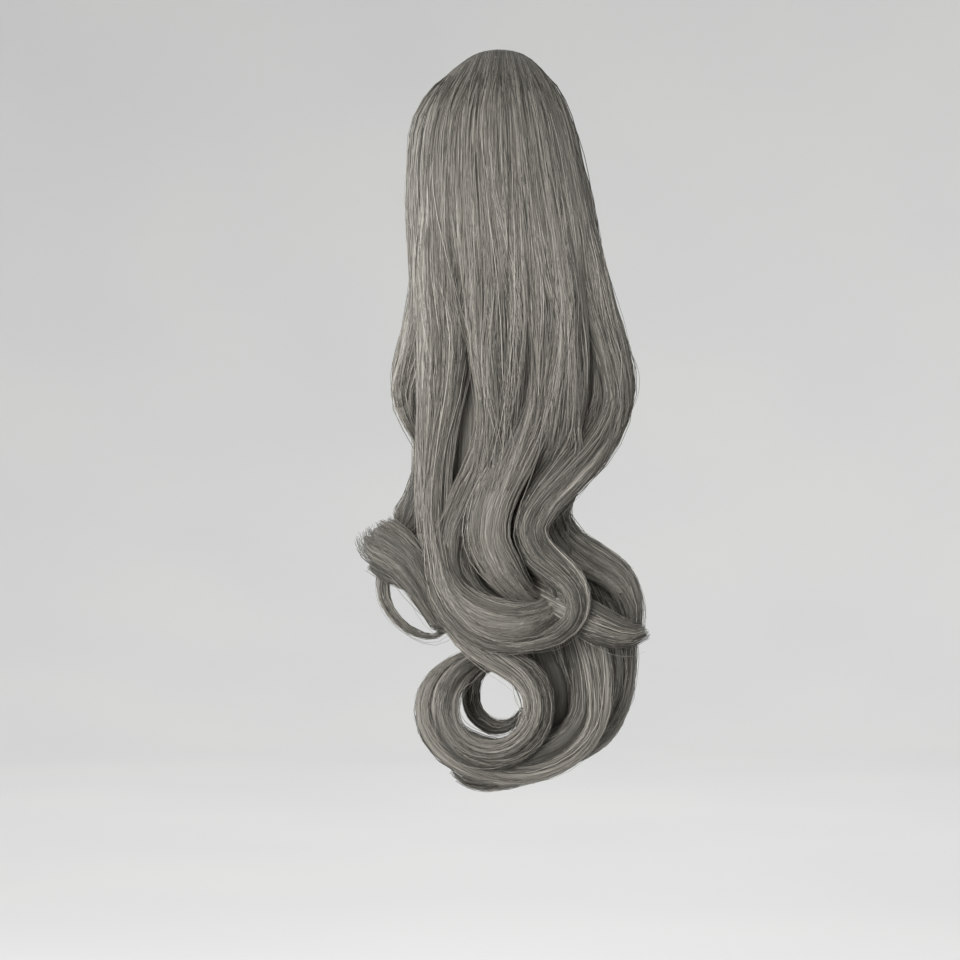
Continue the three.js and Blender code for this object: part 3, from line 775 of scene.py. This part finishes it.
tipLook = dict(thinner=0.6, power=5, drift=0.06, waves=9, uneven=40)  # share lost at the tip, drift of tone


def strandSet(points, radius, tone):
    # thinner at the very end, with a tone that changes slowly on the way and painted shade by height
    look = tipLook
    share = np.linspace(0, 1, points.shape[1])[None, :]
    taper = 1 - look["thinner"] * share ** look["power"]
    drift = look["drift"] * np.sin(share * look["waves"] + tone[:, None] * look["uneven"])
    paintedShadeAndTone = paintedHeightShade(points[..., 2])
    return dict(points=points, radius=radius[:, None] * taper, tone=tone[:, None] + drift + paintedShadeAndTone)


# rows of strands in the map, and margins in a strand's own column
mapLook = dict(rows=4, sideMargin=0.1, endMargin=0.03, cap=0.02)
sideWay = np.array([0.31, -0.9, 0.3])  # a way that no strand runs along


def strandMesh(name, sets):
    # closed three-sided tubes for all the strands, with a tone on each point and a map whose columns
    # are strands and whose height is the way along them
    look = mapLook
    turns = np.arange(3) * 2 * np.pi / 3
    verts, quads, caps, tones, quadMaps, capMaps = [], [], [], [], [], []
    columns = math.ceil(sum(len(strands["points"]) for strands in sets) / look["rows"])
    base, firstStrand = 0, 0
    for strands in sets:
        points = strands["points"] * mm
        count, rings = points.shape[:2]
        forward = np.gradient(points, axis=1)
        forward /= np.linalg.norm(forward, axis=2)[..., None] + 1e-12
        side = np.cross(forward, sideWay)
        side /= np.linalg.norm(side, axis=2)[..., None] + 1e-12
        other = np.cross(forward, side)
        ring = (side[:, :, None] * np.cos(turns)[:, None] + other[:, :, None] * np.sin(turns)[:, None])
        verts.append((points[:, :, None] + ring * (strands["radius"] * mm)[:, :, None, None]).reshape(-1, 3))
        tones.append(np.repeat(strands["tone"].reshape(-1), 3))
        number = base + np.arange(count * rings * 3).reshape(count, rings, 3)
        a, b = number[:, :-1], number[:, 1:]
        quads.append(np.stack([a, np.roll(a, -1, 2), np.roll(b, -1, 2), b], axis=-1).reshape(-1, 4))
        caps.append(np.concatenate([number[:, 0, ::-1], number[:, -1]]))
        strand = firstStrand + np.arange(count)
        left, low = (strand % columns) / columns, (strand // columns) / look["rows"]
        edges = look["sideMargin"] + (1 - 2 * look["sideMargin"]) * np.arange(4) / 3  # of the three sides
        levels = look["endMargin"] + (1 - 2 * look["endMargin"]) * np.arange(rings) / (rings - 1)
        u = left[:, None] + edges[None] / columns
        v = low[:, None] + levels[None] / look["rows"]
        u, v = np.broadcast_arrays(u[:, None, :], v[:, :, None])
        both = np.stack([u, v], axis=-1)
        quadMaps.append(np.stack([both[:, :-1, :-1], both[:, :-1, 1:], both[:, 1:, 1:], both[:, 1:, :-1]],
                                 axis=3).reshape(-1, 2))
        for edge, tip in ((0, -look["cap"]), (-1, look["cap"])):
            capMap = both[:, edge][:, [0, 1, 3]].copy()
            capMap[:, 1, 1] += tip / look["rows"]
            capMaps.append(capMap.reshape(-1, 2))
        base += count * rings * 3
        firstStrand += count
    faces = [np.vstack(quads), np.vstack(caps)]
    piece = newMesh(name, np.vstack(verts), faces, dict(tone=np.concatenate(tones)))
    uv = piece.data.uv_layers.new(name="OFBake")
    uv.data.foreach_set("uv", np.vstack(quadMaps + capMaps).astype(np.float32).ravel())
    return piece


def linear(hexColour):
    # sRGB hex to the linear colour that a shader takes
    parts = [int(hexColour[i:i + 2], 16) / 255 for i in (1, 3, 5)]
    return tuple(c / 12.92 if c <= 0.04045 else ((c + 0.055) / 1.055) ** 2.4 for c in parts) + (1.0,)


def addNode(tree, kind, settings=None, inputs=None):
    # one node with its settings, and its inputs linked or set
    node = tree.nodes.new(kind)
    for key, value in (settings or {}).items():
        setattr(node, key, value)
    for key, value in (inputs or {}).items():
        if isinstance(value, bpy.types.NodeSocket):
            tree.links.new(value, node.inputs[key])
        else:
            node.inputs[key].default_value = value
    return node


def newMaterial(name):
    material = bpy.data.materials.new(name)
    material.use_nodes = True
    material.node_tree.nodes.clear()
    return material, material.node_tree


def fillRamp(ramp, stops):
    elements = ramp.color_ramp.elements
    while len(elements) > 1:
        elements.remove(elements[-1])
    for i, (at, colour) in enumerate(stops):
        element = elements[0] if i == 0 else elements.new(at)
        element.position = at
        element.color = linear(colour)


ashGreys = [(0.0, "#383630"), (0.25, "#524f48"), (0.5, "#6b6861"), (0.75, "#848078"), (1.0, "#a09b93")]


def ashGreyFibre():
    # heat-set synthetic fibre: drawn filaments, satin, no two quite the same grey
    material, tree = newMaterial("ashGreyFibre")
    # the tone attribute holds the fibre's own tones and painted shade by height and by lock
    tone = addNode(tree, "ShaderNodeAttribute", dict(attribute_name="tone"))
    ramp = addNode(tree, "ShaderNodeValToRGB", inputs={"Fac": tone.outputs["Fac"]})
    fillRamp(ramp, ashGreys)
    shader = addNode(tree, "ShaderNodeBsdfPrincipled", inputs={
        "Base Color": ramp.outputs["Color"], "Roughness": 0.5, "IOR": 1.5, "Specular IOR Level": 0.4})
    addNode(tree, "ShaderNodeOutputMaterial", inputs={"Surface": shader.outputs["BSDF"]})
    return material


def combedFibre():
    # the same fibre combed flat into locks: long streaks about 0.4 mm wide, coarser than a real fibre so
    # that they show, and broader ones
    material, tree = newMaterial("combedFibre")
    flow = addNode(tree, "ShaderNodeAttribute", dict(attribute_name="flow"))
    # the tone attribute holds the lock's own tone and painted shade by height and by lock
    lockTone = addNode(tree, "ShaderNodeAttribute", dict(attribute_name="tone"))
    fine = addNode(tree, "ShaderNodeTexNoise", inputs={
        "Vector": flow.outputs["Vector"], "Scale": 2.4, "Detail": 2.0, "Roughness": 0.6})
    broad = addNode(tree, "ShaderNodeTexNoise", inputs={
        "Vector": flow.outputs["Vector"], "Scale": 0.45, "Detail": 2.0, "Roughness": 0.5})
    both = addNode(tree, "ShaderNodeMath", dict(operation="MULTIPLY_ADD"), {
        0: fine.outputs["Fac"], 1: 1.3, 2: broad.outputs["Fac"]})
    tone = addNode(tree, "ShaderNodeMapRange", inputs={
        "Value": both.outputs["Value"], "From Min": 0.84, "From Max": 1.62, "To Min": 0.0, "To Max": 1.0})
    shifted = addNode(tree, "ShaderNodeMath", dict(operation="ADD"), {
        0: tone.outputs["Result"], 1: lockTone.outputs["Fac"]})
    ramp = addNode(tree, "ShaderNodeValToRGB", inputs={"Fac": shifted.outputs["Value"]})
    fillRamp(ramp, ashGreys)
    bump = addNode(tree, "ShaderNodeBump", inputs={
        "Height": fine.outputs["Fac"], "Strength": 0.8, "Distance": 0.0007})
    shader = addNode(tree, "ShaderNodeBsdfPrincipled", inputs={
        "Base Color": ramp.outputs["Color"], "Roughness": 0.52, "IOR": 1.5, "Specular IOR Level": 0.4,
        "Normal": bump.outputs["Normal"]})
    addNode(tree, "ShaderNodeOutputMaterial", inputs={"Surface": shader.outputs["BSDF"]})
    return material


def finishPiece(piece, material, slotName, *nodes):
    # its material, the body that it rides on and the nodes that it stands for; slotName is not used
    piece.data.materials.clear()
    piece.data.materials.append(material)
    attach(piece, "root")
    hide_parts(*nodes)


# rooms kept clear round the clip, mm: half width, how far out from the teeth, height
clipRooms = ((21.5, 45, 66), (21.5, 61, 34))
roomBack = -10


def takeUp(piece):
    # one piece alone selected and active
    bpy.ops.object.select_all(action="DESELECT")
    piece.select_set(True)
    bpy.context.view_layer.objects.active = piece


def cutClipRoom(piece, half, front, tall):
    # a box cut out of the hair
    bpy.ops.object.select_all(action="DESELECT")
    bpy.ops.mesh.primitive_cube_add(size=1, location=(0, -(front + roomBack) / 2 * mm, 0))
    cutter = bpy.context.active_object
    cutter.scale = (2 * half * mm, (front - roomBack) * mm, tall * mm)
    bpy.ops.object.transform_apply(location=True, rotation=True, scale=True)
    cut = piece.modifiers.new("clipRoom", "BOOLEAN")
    cut.operation = "DIFFERENCE"
    cut.object = cutter
    cut.solver = "EXACT"
    takeUp(piece)
    bpy.ops.object.modifier_apply(modifier="clipRoom")
    bpy.data.objects.remove(cutter)


fibre, combed = ashGreyFibre(), combedFibre()
bodyTube = bodySurface()
body = joinSurfaces("hair_body", [bodyTube])
for room in clipRooms:
    cutClipRoom(body, *room)
finishPiece(body, combed, "hair", "hair")
splits = {name: splitLock(shape) for name, shape in allLocks.items()}
groups = {
    "front_left": ["leftLobe", "leftColumn", "centreLeft"],
    "front_right": ["centreWave", "rightInner", "rightWave"],
    "right_fall": ["rightTail", "rightBack", "bottomTip", "innerFall", "flick"],
    "curls": ["lowerRing", "outerRing", "ringInside", "leftCurl", "curlUnder", "leftTurn", "leftLoop"],
    "back": [f"back{i}" for i in range(backLook["count"])],
}
groupStep, lockStep = 40, 7  # each part has its own number, for its own streaks
tubes = {}
for number, (name, members) in enumerate(groups.items()):
    tubes[name] = [partSurface(part, groupStep * number + lockStep * i + j)
                   for i, member in enumerate(members) for j, part in enumerate(splits[member])]
surface, ways = surfaceTree([bodyTube] + [tube for name in groups for tube in tubes[name]])
for name, members in groups.items():
    finishPiece(joinSurfaces("hair_locks_" + name, tubes[name]), combed, "hair", "hair")
    sets = []
    for member in members:
        made = growLock(splits[member], int(strandLook["more"] * allLocks[member]["strands"]))
        keep = shown(made["points"], surface)
        print(member, keep.sum(), "of", len(keep), "strands show")
        sets.append({key: values[keep] for key, values in made.items()})
    finishPiece(strandMesh("hair_strands_" + name, sets), fibre, "hair", "hair")
for side, sets in coverStrands(surface, ways).items():
    finishPiece(strandMesh("hair_crown_" + side, sets), fibre, "hair", "hair")


flyLook = dict(
    radius=0.16, sizes=(0.7, 1.2), reach=(1, 6), length=(30, 110), rings=14,  # mm
    longest=0.6, high=0.3, endShare=0.3, backShare=0.5,  # of the lock's length, and shares of the strands
    open=1.6, ripple=0.8, ripples=(6, 14), phases=(0, 6),  # mm
    turn=0.9, frontPull=0.4, thinner=0.5, drop=0.6,
    tone=0.74, toneSpread=0.2,
    counts=dict(
        lowerRing=44, outerRing=46, rightBack=30, bottomTip=20, flick=30, rightTail=30, leftCurl=24,
        leftTurn=14, leftLoop=10, leftColumn=30, centreLeft=24, centreWave=32, rightInner=20, rightWave=30,
        leftLobe=18, innerFall=40, ringInside=26),
)


def looseStrands(parts, count):
    # thin strands that leave a lock and hang free, or fall back on it
    look = flyLook
    sets = []
    share = np.linspace(0, 1, look["rings"])
    for number in rng.choice(len(parts), count):
        part = parts[number]
        total = part["end"]
        length = min(rng.uniform(*look["length"]), look["longest"] * total)
        atEnd = rng.uniform() < look["endShare"]
        start = total - length if atEnd else rng.uniform(look["high"] * total, total - length)
        at = np.linspace(start, start + length, look["rings"])
        reach = rng.uniform(*look["reach"])
        fallsBack = rng.uniform() < look["backShare"]
        lift = reach * (np.sin(np.pi * share) if fallsBack else share ** look["open"])
        ripple = np.sin(at / rng.uniform(*look["ripples"]) + rng.uniform(*look["phases"]))
        lift = lift + look["ripple"] * ripple * share
        turn = rng.uniform(0, 2 * np.pi) + rng.normal(0, look["turn"]) * share
        turn = towardFront(turn, look["frontPull"])
        wide = np.cos(turn) * (along(part, "wide", at) / 2 + lift)
        thick = np.sin(turn) * (along(part, "thick", at) / 2 + look["thinner"] * lift)
        drop = np.array([0, 0, -1]) * (reach * look["drop"] * share ** 2)[:, None]
        points = offMiddle(part, at, wide, thick) + drop
        radius = look["radius"] * rng.uniform(*look["sizes"])
        tone = rng.normal(look["tone"], look["toneSpread"])
        sets.append(strandSet(points[None], np.array([radius]), np.array([tone])))
    return sets


loose = [made for name, count in flyLook["counts"].items() for made in looseStrands(splits[name], count)]
finishPiece(strandMesh("hair_loose", loose), fibre, "hair", "hair")


def mouldedPlastic():
    # injection-moulded plastic: a satin grain about 0.4 mm, duller where it has been handled
    material, tree = newMaterial("mouldedPlastic")
    place = addNode(tree, "ShaderNodeTexCoord")
    grain = addNode(tree, "ShaderNodeTexNoise", inputs={
        "Vector": place.outputs["Object"], "Scale": 2500.0, "Detail": 2.0, "Roughness": 0.6})
    worn = addNode(tree, "ShaderNodeTexNoise", inputs={
        "Vector": place.outputs["Object"], "Scale": 90.0, "Detail": 3.0, "Roughness": 0.55})
    colour = addNode(tree, "ShaderNodeValToRGB", inputs={"Fac": worn.outputs["Fac"]})
    fillRamp(colour, [(0.3, "#282624"), (0.55, "#302e2b"), (0.75, "#3a3835")])
    dull = addNode(tree, "ShaderNodeMapRange", inputs={
        "Value": worn.outputs["Fac"], "From Min": 0.3, "From Max": 0.7, "To Min": 0.4, "To Max": 0.55})
    bump = addNode(tree, "ShaderNodeBump", inputs={
        "Height": grain.outputs["Fac"], "Strength": 0.25, "Distance": 0.00005})
    shader = addNode(tree, "ShaderNodeBsdfPrincipled", inputs={
        "Base Color": colour.outputs["Color"], "Roughness": dull.outputs["Result"], "IOR": 1.49,
        "Normal": bump.outputs["Normal"]})
    addNode(tree, "ShaderNodeOutputMaterial", inputs={"Surface": shader.outputs["BSDF"]})
    return material


clipLook = dict(radius=0.35, segments=2, sharp=35, merge=0.01, flat=1)  # mm, degrees


def mouldedClip():
    # the clip's own mesh, joined up, with the small radii that a mould leaves
    clip = bpy.data.objects.new("clip_moulded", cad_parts["claw_clip"].data.copy())
    bpy.context.scene.collection.objects.link(clip)
    takeUp(clip)
    bpy.ops.object.mode_set(mode="EDIT")
    bpy.ops.mesh.select_all(action="SELECT")
    bpy.ops.mesh.remove_doubles(threshold=clipLook["merge"] * mm)
    bpy.ops.mesh.dissolve_limited(angle_limit=math.radians(clipLook["flat"]))
    bpy.ops.object.mode_set(mode="OBJECT")
    bevel = clip.modifiers.new("radii", "BEVEL")
    bevel.width = clipLook["radius"] * mm
    bevel.segments = clipLook["segments"]
    bevel.limit_method = "ANGLE"
    bevel.angle_limit = math.radians(clipLook["sharp"])
    bpy.ops.object.modifier_apply(modifier="radii")
    bpy.ops.object.shade_smooth_by_angle(angle=math.radians(clipLook["sharp"]))
    print("clip_moulded", sum(len(face.vertices) - 2 for face in clip.data.polygons), "triangles")
    return clip


finishPiece(mouldedClip(), mouldedPlastic(), "claw_clip", "claw_clip")

# studio: pale sweep, soft light, camera level with the hair
studio = dict(floor=-0.7, flat=3.2, bend=2.0, steps=18, sides=128, sky=0.85)  # m, sky is the world's strength
lights = dict(  # place, aim and size in m, power in W, spread in degrees
    key=((-1.0, -1.8, 0.45), (0, 0, -0.1), 1.4, 12, 80),
    fill=((1.7, -1.6, 0.0), (0, 0, -0.25), 1.6, 2, 180),
    low=((-1.0, -1.7, -0.55), (0, 0, -0.4), 0.9, 2, 60),
    sideLeft=((-2.4, 1.0, 0.3), (0, 0, -0.2), 1.2, 4, 50),
    sideRight=((2.4, 1.0, 0.3), (0, 0, -0.2), 1.2, 3.2, 50),
    backdrop=((0.0, 1.8, 2.6), (0, 2.7, -0.6), 2.0, 12, 115),
)


def palePaper():
    # matt backdrop paper: almost even, a soft cloudiness over about 40 cm
    material, tree = newMaterial("palePaper")
    place = addNode(tree, "ShaderNodeTexCoord")
    cloud = addNode(tree, "ShaderNodeTexNoise", inputs={
        "Vector": place.outputs["Object"], "Scale": 2.5, "Detail": 1.0})
    colour = addNode(tree, "ShaderNodeValToRGB", inputs={"Fac": cloud.outputs["Fac"]})
    fillRamp(colour, [(0.3, "#d3d4d3"), (0.7, "#d7d7d6")])
    shader = addNode(tree, "ShaderNodeBsdfPrincipled", inputs={
        "Base Color": colour.outputs["Color"], "Roughness": 0.9})
    addNode(tree, "ShaderNodeOutputMaterial", inputs={"Surface": shader.outputs["BSDF"]})
    return material


def paleBowl():
    # floor that curves up all round, so that no edge shows from any side
    bpy.ops.object.select_all(action="DESELECT")
    bpy.ops.mesh.primitive_circle_add(vertices=studio["sides"], radius=studio["flat"], fill_type="NGON",
                                      location=(0, 0, studio["floor"]))
    bowl = bpy.context.active_object
    bowl.name = "pale_bowl"
    bpy.ops.object.transform_apply()
    bpy.ops.object.mode_set(mode="EDIT")
    bpy.ops.mesh.select_mode(type="EDGE")
    bpy.ops.mesh.select_all(action="SELECT")
    radius, height = studio["flat"], 0.0
    for step in range(1, studio["steps"] + 1):
        turn = math.pi / 2 * step / studio["steps"]
        wider = studio["flat"] + studio["bend"] * math.sin(turn)
        higher = studio["bend"] * (1 - math.cos(turn))
        bpy.ops.mesh.extrude_edges_move(TRANSFORM_OT_translate={"value": (0, 0, higher - height)})
        bpy.ops.transform.resize(value=(wider / radius, wider / radius, 1), center_override=(0, 0, 0))
        radius, height = wider, higher
    bpy.ops.object.mode_set(mode="OBJECT")
    bpy.ops.object.shade_smooth()
    bowl.data.materials.append(palePaper())


def softLight(name, place, aim, size, power, spread):
    light = bpy.data.lights.new(name, "AREA")
    light.shape = "DISK"
    light.size = size
    light.energy = power
    light.spread = math.radians(spread)
    lamp = bpy.data.objects.new(name, light)
    lamp.location = place
    lamp.rotation_euler = (Vector(aim) - Vector(place)).to_track_quat("-Z", "Y").to_euler()
    bpy.context.scene.collection.objects.link(lamp)


paleBowl()
for name, setting in lights.items():
    softLight(name, *setting)
world = bpy.data.worlds.new("studio")
world.use_nodes = True
sky = world.node_tree.nodes["Background"]
sky.inputs["Color"].default_value = (1, 1, 1, 1)
sky.inputs["Strength"].default_value = studio["sky"]
bpy.context.scene.world = world
bpy.context.scene.view_settings.view_transform = "Standard"
print("studio", len(lights), "lights")

# the picture is 960 pixels square and a pixel is 0.668 mm at the hair, the far end of the view is in m
photo = dict(pixels=960, pixel=0.668, clipX=500, clipY=115, hairOut=55, distance=2200, sensor=36, far=50)
cameraData = bpy.data.cameras.new("camera")
cameraData.sensor_width = photo["sensor"]
cameraData.lens = photo["sensor"] * photo["distance"] / (photo["pixels"] * photo["pixel"])
cameraData.clip_end = photo["far"]
camera = bpy.data.objects.new("camera", cameraData)
middle = photo["pixels"] / 2
camera.location = (
    (middle - photo["clipX"]) * photo["pixel"] * mm,
    -(photo["hairOut"] + photo["distance"]) * mm,
    (photo["clipY"] - middle) * photo["pixel"] * mm,
)
camera.rotation_euler = (math.radians(90), 0, 0)
bpy.context.scene.collection.objects.link(camera)
bpy.context.scene.camera = camera
print("camera", round(cameraData.lens), "mm lens")
